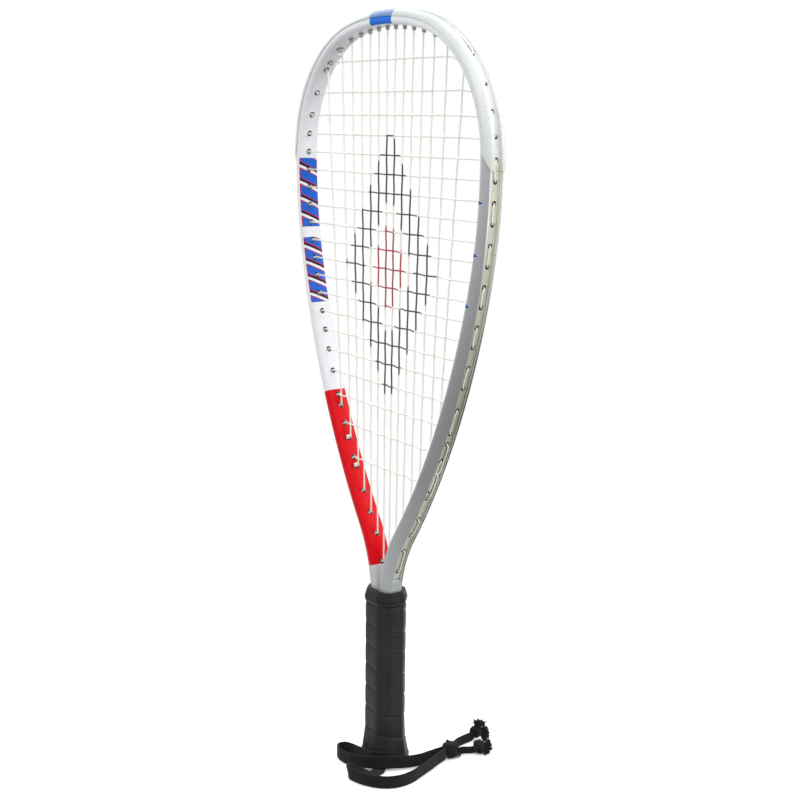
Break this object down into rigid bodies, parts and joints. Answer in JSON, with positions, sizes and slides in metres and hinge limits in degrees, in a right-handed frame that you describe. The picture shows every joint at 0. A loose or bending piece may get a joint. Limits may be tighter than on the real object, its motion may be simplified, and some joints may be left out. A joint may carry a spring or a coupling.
{
  "type": "racquetball racket",
  "caption": "Strung racquetball racket: teardrop tube frame with bumper guard, grommet strips, taped octagonal grip, flared butt cap and a webbing wrist cord lying on the floor.",
  "frame": {"origin": "on the floor under the middle of the butt", "axes": "+Z from the butt to the crown of the head, X across the head in the plane of the strings, Y square to the strings"},
  "size_m": [0.2426, 0.1246, 0.5588],
  "materials": {
    "white_enamel": "glossy white and silver enamel on aluminium tube",
    "clear_nylon": "translucent nylon",
    "cream_gut": "cream synthetic string",
    "handle_foam": "moulded core, hidden",
    "cap_plastic": "moulded, satin",
    "grip_leatherette": "synthetic leather tape, matt",
    "black_rubber": "soft rubber",
    "black_webbing": "ribbed webbing"
  },
  "bodies": {
    "root": {"frame_tube": "white_enamel", "bumper_guard": "clear_nylon", "grommet_strip_left": "clear_nylon", "grommet_strip_right": "clear_nylon", "main_string": "cream_gut", "cross_string": "cream_gut", "string_knot_main_left": "cream_gut", "string_knot_main_right": "cream_gut", "string_knot_cross_top": "cream_gut", "string_knot_cross_low": "cream_gut", "pallet_front": "handle_foam", "pallet_back": "handle_foam", "butt_cap": "cap_plastic", "grip_tape": "grip_leatherette", "grip_collar": "black_rubber", "cord_anchor_knot": "black_webbing", "cord_root": "black_webbing", "cord_strand_upper": "black_webbing", "cord_strand_lower": "black_webbing", "cord_knot": "black_webbing", "cord_tail_a": "black_webbing", "cord_tail_b": "black_webbing", "cord_end_a": "black_webbing", "cord_end_b": "black_webbing"}
  },
  "joints": []
}
